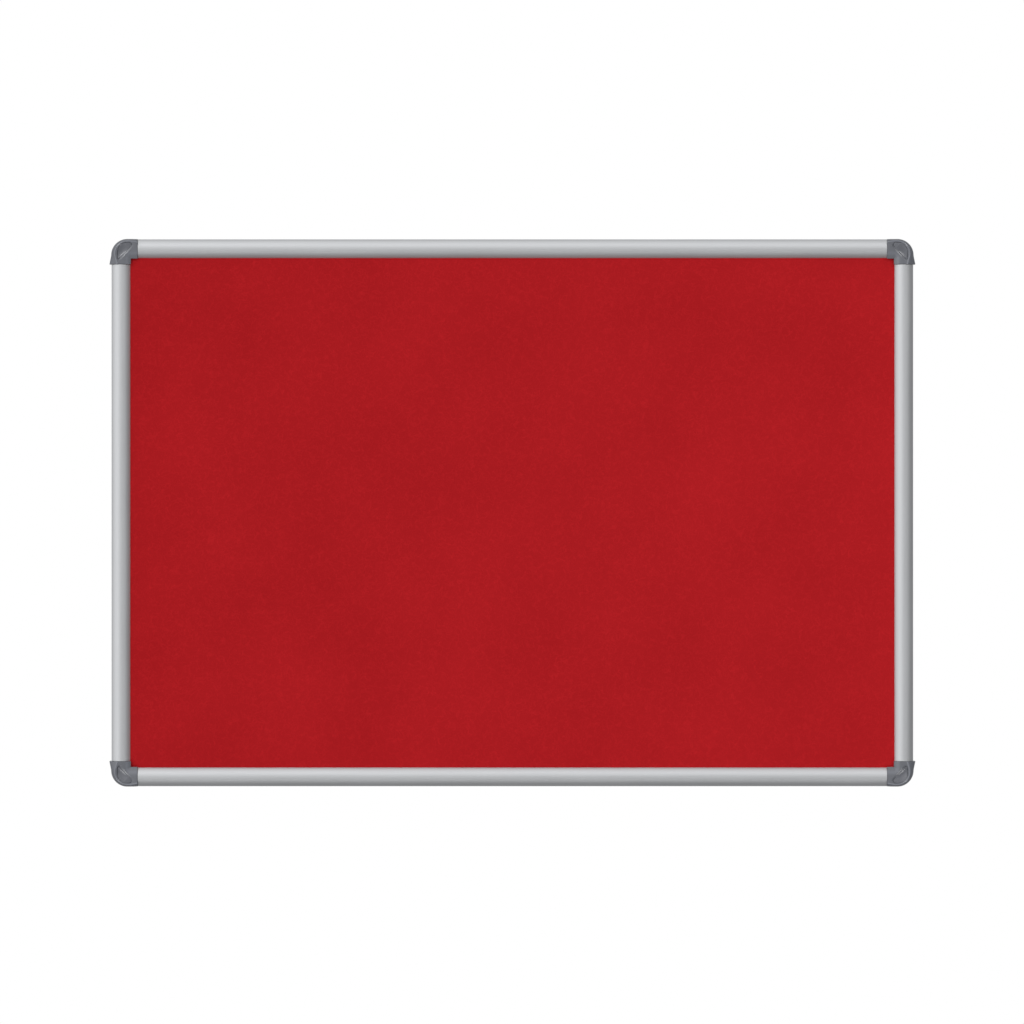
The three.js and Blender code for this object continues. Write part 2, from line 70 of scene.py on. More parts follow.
camera_data = bpy.data.cameras.new("camera")
camera_data.lens = lens_mm
camera_data.sensor_width = sensor_mm
camera = bpy.data.objects.new("camera", camera_data)
bpy.context.scene.collection.objects.link(camera)
camera_away = image_pixels * pixel * lens_mm / sensor_mm
camera.location = (
    -centre_right_pixels * pixel,
    -lip_depth - camera_away,
    centre_below_pixels * pixel,
)
camera.rotation_euler = (math.radians(90), 0, 0)
bpy.context.scene.camera = camera
print("camera stands off by", round(camera_away, 2), "m")

# %% [markdown]
# ## Node helpers
# Every material below is a small tree of nodes. Four helpers keep the trees readable: one
# adds a node and sets its sockets, one joins an output to an input, one does a sum, and
# one carries a range of values over to another range.

# %% Helpers for shader nodes
def add_node(tree, kind, inputs=None, **settings):
    node = tree.nodes.new(kind)
    for name, value in settings.items():
        setattr(node, name, value)
    for name, value in (inputs or {}).items():
        node.inputs[name].default_value = value
    return node


def join(tree, source, output, target, socket):
    tree.links.new(source.outputs[output], target.inputs[socket])


def math_node(tree, operation, first, second=None):
    """A Math node whose inputs are numbers or (node, output) pairs."""
    node = add_node(tree, "ShaderNodeMath", operation=operation)
    for index, value in enumerate((first, second)):
        if isinstance(value, tuple):
            join(tree, *value, node, index)
        elif value is not None:
            node.inputs[index].default_value = value
    return node


def remap(tree, source, output, from_range, to_range, smooth=False):
    """Carries one range of values over to another, straight or with soft ends."""
    from_low, from_high = from_range
    to_low, to_high = to_range
    node = add_node(
        tree,
        "ShaderNodeMapRange",
        interpolation_type="SMOOTHSTEP" if smooth else "LINEAR",
        inputs={"From Min": from_low, "From Max": from_high, "To Min": to_low, "To Max": to_high},
    )
    join(tree, source, output, node, "Value")
    return node


# %% [markdown]
# ## The studio
# The rails tell how the photograph is lit. Each one is bright on the side that faces up
# or left and dark on the other, and darker again where it turns away from the camera. So
# the room is brightest up and to the left, dim down and to the right, and dim at its
# sides. Metal shows that room as a reflection, so it is painted on the world as smooth
# gradients: they light every rail alike from end to end, which a lamp close to the board
# wouldn't. Rays from the camera see plain white, and so do reflections that look past the
# board towards the backdrop.

# %% Light the world
scene = bpy.context.scene
scene.view_settings.view_transform = "Standard"
light_from = Vector((-1, -0.8, 1)).normalized()
dim_to_bright = (-0.8, 0.85)  # cosines of the angle to the light, at the gradient's ends
gradient_power = 2.5
ahead_dim = 0.21
ahead_rise = 0.90
beside_dim = 0.39
beside_rise = 0.28
ahead_to_beside = (-0.35, 0.2)  # how far back a direction points where the two blend
beside_to_backdrop = (0.75, 0.95)

world = bpy.data.worlds.new("studio")
scene.world = world
world.use_nodes = True
tree = world.node_tree
tree.nodes.clear()

direction = add_node(tree, "ShaderNodeTexCoord")
towards = add_node(tree, "ShaderNodeVectorMath", operation="DOT_PRODUCT")
towards.inputs[1].default_value = light_from
join(tree, direction, "Generated", towards, 0)
spread = remap(tree, towards, "Value", dim_to_bright, (0, 1))
gradient = math_node(tree, "POWER", (spread, "Result"), gradient_power)

split = add_node(tree, "ShaderNodeSeparateXYZ")
join(tree, direction, "Generated", split, "Vector")
ahead = remap(tree, split, "Y", ahead_to_beside, (1, 0), smooth=True)
level = add_node(tree, "ShaderNodeMix")
join(tree, ahead, "Result", level, 0)
for socket, base, rise in ((2, beside_dim, beside_rise), (3, ahead_dim, ahead_rise)):
    lifted = math_node(tree, "MULTIPLY", (gradient, "Value"), rise)
    total = math_node(tree, "ADD", (lifted, "Value"), base)
    join(tree, total, "Value", level, socket)
room = add_node(tree, "ShaderNodeBackground", inputs={"Color": (1, 1, 1, 1)})
join(tree, level, "Result", room, "Strength")

behind = remap(tree, split, "Y", beside_to_backdrop, (0, 1), smooth=True)
rays = add_node(tree, "ShaderNodeLightPath")
mirrored = math_node(tree, "MULTIPLY", (rays, "Is Glossy Ray"), (behind, "Result"))
seen = math_node(tree, "MAXIMUM", (rays, "Is Camera Ray"), (rays, "Is Transmission Ray"))
shows_white = math_node(tree, "MAXIMUM", (seen, "Value"), (mirrored, "Value"))
white = add_node(tree, "ShaderNodeBackground", inputs={"Color": (1, 1, 1, 1), "Strength": 1})
mixed = add_node(tree, "ShaderNodeMixShader")
join(tree, shows_white, "Value", mixed, 0)
join(tree, room, "Background", mixed, 1)
join(tree, white, "Background", mixed, 2)
world_output = add_node(tree, "ShaderNodeOutputWorld")
join(tree, mixed, "Shader", world_output, "Surface")
print("world nodes:", len(tree.nodes))

# %% [markdown]
# Four suns stand on the diagonals, half way between straight ahead and the sides. No
# rail faces that way, so its shading stays as soft as the room's, but the scoop and the
# finger lip in each corner do, and they catch a bright thin line. A sun is infinitely far
# away, so all four corners get theirs at the same angle.

# %% Add the lamps
sun_width = math.radians(14)
sun_level = 0.28

for up_name, up in (("up", 1), ("down", -1)):
    for side_name, across in (("left", -1), ("right", 1)):
        lamp = bpy.data.lights.new(f"sun_{up_name}_{side_name}", "SUN")
        lamp.energy = sun_level
        lamp.angle = sun_width
        lamp_object = bpy.data.objects.new(lamp.name, lamp)
        lamp_object.rotation_mode = "QUATERNION"
        light_comes_from = Vector((across, -math.sqrt(2), up))
        lamp_object.rotation_quaternion = light_comes_from.to_track_quat("Z", "Y")
        scene.collection.objects.link(lamp_object)
        print(lamp_object.name, sun_level)

# %% [markdown]
# ## The floor
# The board hangs well above a pale floor. From the front the floor lies below the
# picture. From higher up it catches the board's soft shadow, and it fades to the white
# of the background towards its rim. Only the camera sees it: what lights the board from
# below, and what the rails mirror, is already painted on the world.

# %% Make the floor
floor_drop = 910 * mm
floor_radius = 2400 * mm
floor_fade = (900 * mm, floor_radius * 0.95)  # where it turns to plain white
floor_colour = (0.9, 0.9, 0.9, 1)


def make_floor():
    bm = bmesh.new()
    bmesh.ops.create_circle(bm, cap_ends=True, segments=96, radius=floor_radius)
    bmesh.ops.translate(bm, verts=bm.verts, vec=(0, 0, -floor_drop))
    mesh = bpy.data.meshes.new("floor")
    bm.to_mesh(mesh)
    bm.free()
    floor_object = bpy.data.objects.new("floor", mesh)
    scene.collection.objects.link(floor_object)
    floor_object.visible_glossy = False
    floor_object.visible_diffuse = False
    floor_object.visible_shadow = False
    return floor_object


def floor_material():
    material = bpy.data.materials.new("pale_floor")
    material.use_nodes = True
    tree = material.node_tree
    tree.nodes.clear()
    coords = add_node(tree, "ShaderNodeTexCoord")
    length = add_node(tree, "ShaderNodeVectorMath", operation="LENGTH")
    join(tree, coords, "Object", length, 0)
    rim = remap(tree, length, "Value", floor_fade, (0, 1), smooth=True)
    rays = add_node(tree, "ShaderNodeLightPath")
    fade = math_node(tree, "MULTIPLY", (rays, "Is Camera Ray"), (rim, "Result"))
    lit = add_node(tree, "ShaderNodeBsdfDiffuse", inputs={"Color": floor_colour})
    glow = add_node(tree, "ShaderNodeEmission", inputs={"Color": (1, 1, 1, 1), "Strength": 1})
    mixed = add_node(tree, "ShaderNodeMixShader")
    join(tree, fade, "Value", mixed, 0)
    join(tree, lit, "BSDF", mixed, 1)
    join(tree, glow, "Emission", mixed, 2)
    output = add_node(tree, "ShaderNodeOutputMaterial")
    join(tree, mixed, "Shader", output, "Surface")
    return material


floor = make_floor()
floor.data.materials.append(floor_material())
print("floor:", round(floor_drop / mm), "mm below the board's middle")


# %% [markdown]
# ## Finishes
# Each finish starts from the same shell: object coordinates in metres, one Principled
# shader and the output. Patterns then change colour, roughness and height by a little.

# %% Start a material
def start_material(name, roughness, metallic=0.0, specular=0.5):
    material = bpy.data.materials.new(name)
    material.use_nodes = True
    tree = material.node_tree
    tree.nodes.clear()
    shader = add_node(
        tree,
        "ShaderNodeBsdfPrincipled",
        inputs={"Roughness": roughness, "Metallic": metallic, "Specular IOR Level": specular},
    )
    output = add_node(tree, "ShaderNodeOutputMaterial")
    join(tree, shader, "BSDF", output, "Surface")
    coords = add_node(tree, "ShaderNodeTexCoord")
    return material, tree, shader, coords


def stretch(tree, coords, scale, location=(0, 0, 0)):
    """Object coordinates, scaled along each axis."""
    mapping = add_node(tree, "ShaderNodeMapping", inputs={"Scale": scale, "Location": location})
    join(tree, coords, "Object", mapping, "Vector")
    return mapping


def noise_node(tree, vector, output, scale, detail=2.0, roughness=0.5, distortion=0.0):
    texture = add_node(
        tree,
        "ShaderNodeTexNoise",
        inputs={"Scale": scale, "Detail": detail, "Roughness": roughness, "Distortion": distortion},
    )
    join(tree, vector, output, texture, "Vector")
    return texture


def mix_colours(tree, source, output, low_colour, high_colour):
    """Mixes two colours, which are inputs 6 and 7 of the node, by input 0."""
    node = add_node(tree, "ShaderNodeMix", data_type="RGBA")
    node.inputs[6].default_value = (*low_colour, 1)
    node.inputs[7].default_value = (*high_colour, 1)
    join(tree, source, output, node, 0)
    return node


def bump_from(tree, shader, source, output, distance, strength=1.0):
    bump = add_node(tree, "ShaderNodeBump", inputs={"Strength": strength, "Distance": distance})
    join(tree, source, output, bump, "Height")
    join(tree, bump, "Normal", shader, "Normal")
    return bump


# %% [markdown]
# ### Satin aluminium
# Anodised extrusions are metal through and through, with a silky surface and very fine
# lines that run the way the rail was pushed through its die. A noise squeezed across the
# rail and stretched along it draws those lines, so there is one finish for the rails that
# lie and one for those that stand.

# %% Make the aluminium
def aluminium(name, along):
    material, tree, shader, coords = start_material(name, roughness=0.42, metallic=1.0)
    along_scale = 0.012
    scale = tuple(along_scale if axis == along else 1 for axis in "XYZ")
    lines_space = stretch(tree, coords, scale)
    lines = noise_node(tree, lines_space, "Vector", scale=900, detail=4, roughness=0.65)
    patches = noise_node(tree, coords, "Object", scale=9, detail=3)
    tone = mix_colours(tree, lines, "Fac", (0.575, 0.585, 0.60), (0.645, 0.655, 0.67))
    join(tree, tone, 2, shader, "Base Color")
    line_share = remap(tree, lines, "Fac", (0.2, 0.8), (0.0, 0.05))
    patch_share = remap(tree, patches, "Fac", (0.3, 0.7), (0.40, 0.44))
    rough = math_node(tree, "ADD", (line_share, "Result"), (patch_share, "Result"))
    join(tree, rough, "Value", shader, "Roughness")
    bump_from(tree, shader, lines, "Fac", distance=0.004 * mm)
    return material


lying_aluminium = aluminium("aluminium_lying", "X")
standing_aluminium = aluminium("aluminium_standing", "Z")
print("aluminium finishes:", lying_aluminium.name, standing_aluminium.name)


# %% [markdown]
# ### Moulded plastic
# The corner pieces are grey moulded plastic with a fine spark-eroded texture: tiny dull
# grains that break up the shine. The ridge round each face and a band beside the felt get a
# painted highlight: their colour is made a little paler, and they are also a little
# smoother. The shape says where that is: an attribute from nought to one, which the
# finish reads.

# %% Make the plastics
plastic_gloss = 1.0
# The painted highlight makes the marked places this much paler, and this much smoother.
highlight_gain = 1.5
highlight_polish = 0.06


def plastic(name, low_colour, high_colour, rough_low, rough_high, grain_height):
    material, tree, shader, coords = start_material(name, rough_low, specular=plastic_gloss)
    flow = noise_node(tree, coords, "Object", scale=130, detail=3)
    grain = noise_node(tree, coords, "Object", scale=5200, detail=2, roughness=0.6)
    # This attribute marks the painted highlights: there the colour turns paler and the roughness
    # drops a little.
    rubbed = add_node(tree, "ShaderNodeAttribute", attribute_name="rubbed")
    tone = mix_colours(tree, flow, "Fac", low_colour, high_colour)
    pale = add_node(tree, "ShaderNodeMix", data_type="RGBA")
    pale.inputs[7].default_value = (*[channel * highlight_gain for channel in high_colour], 1)
    join(tree, rubbed, "Fac", pale, 0)
    join(tree, tone, 2, pale, 6)
    join(tree, pale, 2, shader, "Base Color")
    rough = remap(tree, grain, "Fac", (0.3, 0.7), (rough_low, rough_high))
    polish = math_node(tree, "MULTIPLY", (rubbed, "Fac"), highlight_polish)
    smoother = math_node(tree, "SUBTRACT", (rough, "Result"), (polish, "Value"))
    join(tree, smoother, "Value", shader, "Roughness")
    bump_from(tree, shader, grain, "Fac", distance=grain_height)
    return material


corner_plastic = plastic(
    "corner_plastic", (0.109, 0.115, 0.134), (0.126, 0.133, 0.155), 0.23, 0.32, 0.003 * mm
)
cover_plastic = plastic(
    "cover_plastic", (0.105, 0.110, 0.129), (0.119, 0.125, 0.147), 0.23, 0.31, 0.002 * mm
)
print("plastics:", corner_plastic.name, cover_plastic.name)


# %% [markdown]
# ### Zinc-plated steel
# The small screws are bright zinc with a slightly cloudy, bluish shine.

# %% Make the steel
def zinc_steel():
    material, tree, shader, coords = start_material("zinc_steel", roughness=0.3, metallic=1.0)
    clouds = noise_node(tree, coords, "Object", scale=700, detail=4, roughness=0.6)
    tone = mix_colours(tree, clouds, "Fac", (0.50, 0.52, 0.55), (0.63, 0.64, 0.65))
    join(tree, tone, 2, shader, "Base Color")
    rough = remap(tree, clouds, "Fac", (0.3, 0.7), (0.24, 0.38))
    join(tree, rough, "Result", shader, "Roughness")
    return material


steel = zinc_steel()
print("steel:", steel.name)


# %% [markdown]
# ### Red felt
# Felt is a mat of short curled fibres, pressed flat. Close up, single fibres wander
# over the surface and catch the light. From a step away they melt into faint clouds.
# The lines where a noise crosses its middle value wander like that, so two such layers
# draw the fibres, a very large noise draws the clouds, and a very fine one the fuzz.
# A painted gradient of light makes the cloth a trace paler at one end than at the other.

# %% Make the felt's finish
felt_dark = (0.350, 0.0085, 0.0115)
felt_light = (0.515, 0.0155, 0.0200)
# Painted light across the felt:
side_light_share = 0.09  # the felt is this much paler at its right end and deeper at its left
side_light_reach = 450 * mm


def curled_fibres(tree, vector, output, scale, width, distortion):
    """One where the noise is near its middle value, falling to zero beside it."""
    texture = noise_node(tree, vector, output, scale, detail=1.5, distortion=distortion)
    away = math_node(tree, "SUBTRACT", (texture, "Fac"), 0.5)
    distance = math_node(tree, "ABSOLUTE", (away, "Value"))
    return remap(tree, distance, "Value", (0, width), (1, 0))


def red_felt():
    material, tree, shader, coords = start_material("red_felt", roughness=1.0, specular=0.03)
    shader.inputs["Sheen Weight"].default_value = 0.06
    shader.inputs["Sheen Roughness"].default_value = 0.6
    shader.inputs["Sheen Tint"].default_value = (0.9, 0.12, 0.12, 1)
    shifted = stretch(tree, coords, (1, 1, 1), location=(3.1, 0, 1.7))
    near_fibres = curled_fibres(tree, coords, "Object", 130, 0.05, distortion=0.8)
    far_fibres = curled_fibres(tree, shifted, "Vector", 85, 0.04, distortion=1.2)
    clouds = noise_node(tree, coords, "Object", scale=7, detail=4, roughness=0.55)
    fuzz = noise_node(tree, coords, "Object", scale=1300, detail=3, roughness=0.7)
    fibres = math_node(tree, "ADD", (near_fibres, "Result"), (far_fibres, "Result"))
    fibre_share = remap(tree, fibres, "Value", (0, 2), (0.0, 0.42))
    cloud_share = remap(tree, clouds, "Fac", (0.3, 0.7), (0.18, 0.46))
    fuzz_share = remap(tree, fuzz, "Fac", (0.3, 0.7), (0.0, 0.24))
    split = add_node(tree, "ShaderNodeSeparateXYZ")
    join(tree, coords, "Object", split, "Vector")
    # Painted light: the tone rises from left to right across the felt.
    fade = remap(tree, split, "X", (-side_light_reach, side_light_reach), (-side_light_share, side_light_share))
    large = math_node(tree, "ADD", (fibre_share, "Result"), (cloud_share, "Result"))
    small = math_node(tree, "ADD", (fuzz_share, "Result"), (fade, "Result"))
    total = math_node(tree, "ADD", (large, "Value"), (small, "Value"))
    tone = mix_colours(tree, total, "Value", felt_dark, felt_light)
    join(tree, tone, 2, shader, "Base Color")
    height = math_node(tree, "ADD", (fibres, "Value"), (fuzz, "Fac"))
    bump_from(tree, shader, height, "Value", distance=0.05 * mm, strength=0.6)
    return material


felt_finish = red_felt()
print("felt nodes:", len(felt_finish.node_tree.nodes))


# %% [markdown]
# ### Softboard and hardboard
# The core is pressed wood fibre, pale and matt. The back is hardboard: darker, harder,
# with flecks of bark and the faint print of the wire mesh that it was pressed on.

# %% Make the two fibre boards
def softboard():
    material, tree, shader, coords = start_material("softboard", roughness=0.95, specular=0.1)
    space = stretch(tree, coords, (1, 6, 1))
    fibres = noise_node(tree, space, "Vector", scale=420, detail=5, roughness=0.7, distortion=0.6)
    tone = mix_colours(tree, fibres, "Fac", (0.24, 0.16, 0.085), (0.50, 0.37, 0.22))
    join(tree, tone, 2, shader, "Base Color")
    bump_from(tree, shader, fibres, "Fac", distance=0.3 * mm)
    return material


def hardboard():
    material, tree, shader, coords = start_material("hardboard", roughness=0.6, specular=0.3)
    clouds = noise_node(tree, coords, "Object", scale=14, detail=5, roughness=0.6)
    flecks = noise_node(tree, coords, "Object", scale=520, detail=4, roughness=0.75)
    cloud_share = remap(tree, clouds, "Fac", (0.3, 0.7), (0.0, 0.35))
    fleck_share = remap(tree, flecks, "Fac", (0.32, 0.68), (0.0, 0.65))
    total = math_node(tree, "ADD", (cloud_share, "Result"), (fleck_share, "Result"))
    tone = mix_colours(tree, total, "Value", (0.085, 0.040, 0.019), (0.235, 0.118, 0.056))
    join(tree, tone, 2, shader, "Base Color")
    rough = remap(tree, flecks, "Fac", (0.3, 0.7), (0.5, 0.72))
    join(tree, rough, "Result", shader, "Roughness")
    threads = []
    for bands in ("X", "Z"):
        wave = add_node(
            tree,
            "ShaderNodeTexWave",
            bands_direction=bands,
            inputs={"Scale": 190, "Distortion": 0.4},
        )
        join(tree, coords, "Object", wave, "Vector")
        threads.append(wave)
    mesh_print = math_node(tree, "MULTIPLY", (threads[0], "Fac"), (threads[1], "Fac"))
    height = math_node(tree, "ADD", (mesh_print, "Value"), (flecks, "Fac"))
    bump_from(tree, shader, height, "Value", distance=0.06 * mm, strength=0.7)
    return material


softboard_finish = softboard()
hardboard_finish = hardboard()
for node_name, finish in (
    ("softboard_core", softboard_finish),
    ("backing_board", hardboard_finish),
):
    board_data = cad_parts[node_name].data
    board_data.materials.clear()
    board_data.materials.append(finish)
print("boards:", softboard_finish.name, hardboard_finish.name)


# %% [markdown]
# ## From bmesh to finished piece
# Each piece is shaped in a bmesh, given its finish and hung on the body it moves with,
# and the solid it stands for is hidden. Faces that meet at a small angle are shaded smooth.
# Spin and extrude leave edges and faces in a different order on each run, so they are
# sorted by their vertices, and the piece comes out the same every time.

# %% Helpers for finished pieces
most_vertices = 100_000


def put_in_order(bm):
    bm.verts.index_update()

    def place(part):
        """One number for an edge or a face, from its three earliest vertices."""
        earliest = sorted(vertex.index for vertex in part.verts)[:3]
        return sum(index * most_vertices**power for power, index in enumerate(earliest))

    bm.edges.sort(key=place)
    bm.faces.sort(key=place)


def make_piece(name, bm, finish, body, replaced, smooth_angle=28):
    bmesh.ops.recalc_face_normals(bm, faces=bm.faces)
    put_in_order(bm)
    open_edges = [edge for edge in bm.edges if len(edge.link_faces) != 2]
    mesh = bpy.data.meshes.new(name)
    bm.to_mesh(mesh)
    bm.free()
    mesh.materials.append(finish)
    mesh.shade_smooth()
    mesh.set_sharp_from_angle(angle=math.radians(smooth_angle))
    piece = bpy.data.objects.new(name, mesh)
    scene.collection.objects.link(piece)
    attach(piece, body)
    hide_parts(*replaced)
    print(f"{name}: {len(mesh.polygons)} faces, {len(open_edges)} open edges")
    return piece


# %% [markdown]
# ## The rails
# Each rail is one length of extruded aluminium, so it is made like one: draw the section
# once, then push it out to length. The section has a rounded front, a thin lip that
# grips the felt, a groove for the panel, a short rear flange, and a closed chamber for
# the corner pieces' tenons. All its curves share one centre.

# %% Draw the rail's section
rail_low, rail_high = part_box("rail_top")
rail_face = rail_high.z - rail_low.z
crown_top = -rail_low.y
rail_back = -rail_high.y
rail_wall = 1.3 * mm
lip_tip = 0.5 * mm
crown_rise = 5.1 * mm
flange_short = 2 * mm
panel_seat = 7.3 * mm
rail_round = 0.35 * mm
same_place = 0.01 * mm

side_top = crown_top - crown_rise
flange_top = rail_back + rail_wall
crown_radius = ((rail_face / 2) ** 2 + crown_rise**2) / (2 * crown_rise)
crown_centre = (0, rail_face / 2, crown_top - crown_radius)
inner_radius = crown_radius - rail_wall
chamber_in = panel_seat + rail_wall
chamber_out = rail_face - rail_wall
print("crown radius, mm:", round(crown_radius / mm, 2))


def line_to(bm, vertex, out, height):
    made = bmesh.ops.extrude_vert_indiv(bm, verts=[vertex])["verts"][0]
    made.co = (0, out, height)
    return made


def arc_to(bm, vertex, angle, steps):
    """Sweeps the vertex about the crown's centre."""
    swept = bmesh.ops.spin(
        bm,
        geom=[vertex],
        cent=crown_centre,
        axis=(1, 0, 0),
        angle=angle,
        steps=steps,
        use_merge=False,
        use_duplicate=False,
    )
    return next(item for item in swept["geom_last"] if isinstance(item, bmesh.types.BMVert))


def angle_at(radius, out):
    """Where an arc of this radius passes over a point, counted from the face's middle."""
    return math.asin((out - rail_face / 2) / radius)


def draw_outline(bm):
    """The rail's own outline. Returns the corners that get a small radius."""
    half_turn = angle_at(crown_radius, rail_face)
    lip_under = side_top - lip_tip
    lip_in = rail_face / 2 - math.sqrt(inner_radius**2 - (lip_under - crown_centre[2]) ** 2)
    first = bm.verts.new((0, rail_face, rail_back))
    shoulder = line_to(bm, first, rail_face, side_top)
    lip = arc_to(bm, shoulder, 2 * half_turn, steps=36)
    lip_back = line_to(bm, lip, 0, lip_under)
    under_lip = line_to(bm, lip_back, lip_in, lip_under)
    sweep = angle_at(inner_radius, lip_in) - angle_at(inner_radius, panel_seat)
    groove_top = arc_to(bm, under_lip, sweep, steps=8)
    groove_foot = line_to(bm, groove_top, panel_seat, flange_top)
    flange_front = line_to(bm, groove_foot, flange_short, flange_top)
    flange_back = line_to(bm, flange_front, flange_short, rail_back)
    bmesh.ops.contextual_create(bm, geom=[flange_back, first])
    return [first, shoulder, flange_front, flange_back]


def draw_chamber(bm):
    height_out = crown_centre[2] + inner_radius * math.cos(angle_at(inner_radius, chamber_out))
    first = bm.verts.new((0, chamber_out, flange_top))
    top_out = line_to(bm, first, chamber_out, height_out)
    sweep = angle_at(inner_radius, chamber_out) - angle_at(inner_radius, chamber_in)
    top_in = arc_to(bm, top_out, sweep, steps=20)
    last = line_to(bm, top_in, chamber_in, flange_top)
    bmesh.ops.contextual_create(bm, geom=[last, first])


# %% [markdown]
# A triangle fill turns the two outlines, rail and chamber, into one section with a hole.
# Pushing that face out gives the length, and a bevel on the four long corners gives them
# the small radius of a die. The rail is then stood up against the wall and turned to its
# side of the board.

# %% Push the section out into four rails
def rail_mesh(length, turn, away):
    bm = bmesh.new()
    corners = draw_outline(bm)
    corner_places = [corner.co.copy() for corner in corners]
    draw_chamber(bm)
    bmesh.ops.triangle_fill(bm, use_beauty=True, edges=bm.edges[:], normal=(1, 0, 0))
    bmesh.ops.translate(bm, verts=bm.verts, vec=(-length / 2, 0, 0))
    pushed = bmesh.ops.extrude_face_region(bm, geom=bm.faces[:])["geom"]
    far_end = [item for item in pushed if isinstance(item, bmesh.types.BMVert)]
    bmesh.ops.translate(bm, verts=far_end, vec=(length, 0, 0))
    long_corners = [
        edge
        for edge in bm.edges
        if edge.calc_length() > length / 2
        and any((edge.verts[0].co.yz - place.yz).length < same_place for place in corner_places)
    ]
    bmesh.ops.bevel(
        bm,
        geom=long_corners,
        offset=rail_round,
        offset_type="OFFSET",
        affect="EDGES",
        segments=3,
        profile=0.5,
        material=-1,
    )
    to_wall = Matrix.Rotation(math.radians(90), 4, "X")
    to_side = Matrix.Rotation(math.radians(turn), 4, "Y")
    place = to_side @ Matrix.Translation((0, 0, away)) @ to_wall
    bmesh.ops.transform(bm, matrix=place, verts=bm.verts)
    return bm


felt_half_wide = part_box("rail_right")[0].x
felt_half_high = rail_low.z
lying_length = rail_high.x - rail_low.x
standing_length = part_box("rail_left")[1].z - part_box("rail_left")[0].z
for side, length, turn, away, finish in (
    ("top", lying_length, 0, felt_half_high, lying_aluminium),
    ("bottom", lying_length, 180, felt_half_high, lying_aluminium),
    ("left", standing_length, -90, felt_half_wide, standing_aluminium),
    ("right", standing_length, 90, felt_half_wide, standing_aluminium),
):
    make_piece(
        f"{side}_rail",
        rail_mesh(length, turn, away),
        finish,
        "board",
        [f"rail_{side}"],
    )


# %% [markdown]
# ## The felt
# The felt is cut as large as the panel and glued to it. The rails' lips press its margin
# down, so its field stands a little proud. It starts as a slab, and two insets draw the
# step where the lips let go. The field is then divided and lifted here and there by a
# few hundredths of a millimetre, as glued cloth is never quite flat.

# %% Lay the felt
felt_low, felt_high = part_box("felt_sheet")
felt_margin = 7.8 * mm  # from the felt's cut edge to the step
felt_step = 0.3 * mm
felt_relief = 0.09 * mm
relief_size = 55 * mm
field_cuts = 70


def felt_mesh():
    bm = bmesh.new()
    bmesh.ops.create_cube(bm, size=1)
    size = felt_high - felt_low
    slab_front = felt_low.y + felt_step
    place = Matrix.Translation((0, (slab_front + felt_high.y) / 2, 0)) @ Matrix.Diagonal(
        (size.x, felt_high.y - slab_front, size.z, 1)
    )
    bmesh.ops.transform(bm, matrix=place, verts=bm.verts)
    front = [face for face in bm.faces if face.normal.y < -0.5]
    bmesh.ops.inset_region(bm, faces=front, thickness=felt_margin, depth=0)
    bmesh.ops.inset_region(bm, faces=front, thickness=felt_step, depth=felt_step)
    field_edges = list({edge for face in front for edge in face.edges})
    bmesh.ops.subdivide_edges(bm, edges=field_edges, cuts=field_cuts, use_grid_fill=True)
    inner = [
        vertex
        for vertex in bm.verts
        if all(face.normal.y < -0.99 for face in vertex.link_faces)
        and vertex.co.y < felt_low.y + felt_step / 10
    ]
    for vertex in inner:
        lift = noise.noise(vertex.co / relief_size, noise_basis="PERLIN_ORIGINAL")
        vertex.co.y += felt_relief * lift
    return bm


felt = make_piece("felt_face", felt_mesh(), felt_finish, "board", ["felt_sheet"])

# %% [markdown]
# ## The corner pieces
# This is the piece that takes the most skill. One moulding turns the line of a rail
# through ninety degrees, flares out at one end, carries a rounded ridge and a pocket on
# its face, and is hollow behind, with ribs, a screw boss and two tenons. It could be
# carved from a block, but its form is a section that travels round a corner and changes
# on the way. So the sections are drawn first, and then bridged one after the other.
#
# It is drawn lying on its back, in millimetres: x runs out past the side rail, y out past
# the top rail, z off the wall, and the origin is the corner of the felt that shows.

# %% Sizes of the corner piece
leg_across = 8.9  # how far it reaches along the top rail
leg_down = 7.5  # and down the side rail
cap_out = 22.5  # from the felt that shows to the piece's outer sides
cap_round = 19
cap_lap = 0.8  # how far it laps over the felt
cap_wall = 1.8
edge_top = 16.4  # height of the edge beside the felt
edge_round = 0.5
face_top = 18.6
ridge_top = 18.9
ridge_wide = 1.9  # the ridge starts this far inside its line, counted towards the felt
crest_in = 0.9  # its crest lies this far inside the line
crest_out = 0.3  # and it bends down to the band this far outside
crest_drop_most = 0.45
band_wide = 2  # from the ridge's line to the outer side, at the top of the corner
band_wide_across = 3.1  # at the end of the leg on the top rail
band_wide_side = 4.7  # at the side
band_wide_down = 9.4  # at the end of the leg on the side rail
band_drop = 6
band_slope_share = 0.45  # how much of the band's fall is straight and not round
flare = 2.1  # the side leg's end stands this much further out
flare_from = 3  # it starts to, this high above the felt's corner
end_tuck = 0.3  # the top leg's end stands this much further in
end_round = 0.25
overrun = 5  # how far a cutting shape goes past what it cuts


def mix(low, high, share):
    return low + (high - low) * share


def smooth_min(first, second, blend):
    """The smaller of two values, with the change from one to the other rounded off."""
    near = max(blend - abs(first - second), 0) / blend
    return min(first, second) - near * near * blend / 4


# %% [markdown]
# One section, from the inner edge to the outer side. The edge is a quarter circle. The
# face climbs for a few millimetres and then lies nearly flat. The ridge has a soft crest
# that leans outwards, and a band falls from it to the side. The hollow inside uses the
# same function, one wall smaller.

# %% Draw one section
edge_steps = 6
face_steps = 14
face_spacing = 1.3  # the steps on the face are closer together near the felt
face_steep = 2.2
face_dip = 0.45
face_blend = 0.2
crest_steps = 5
band_steps = 14


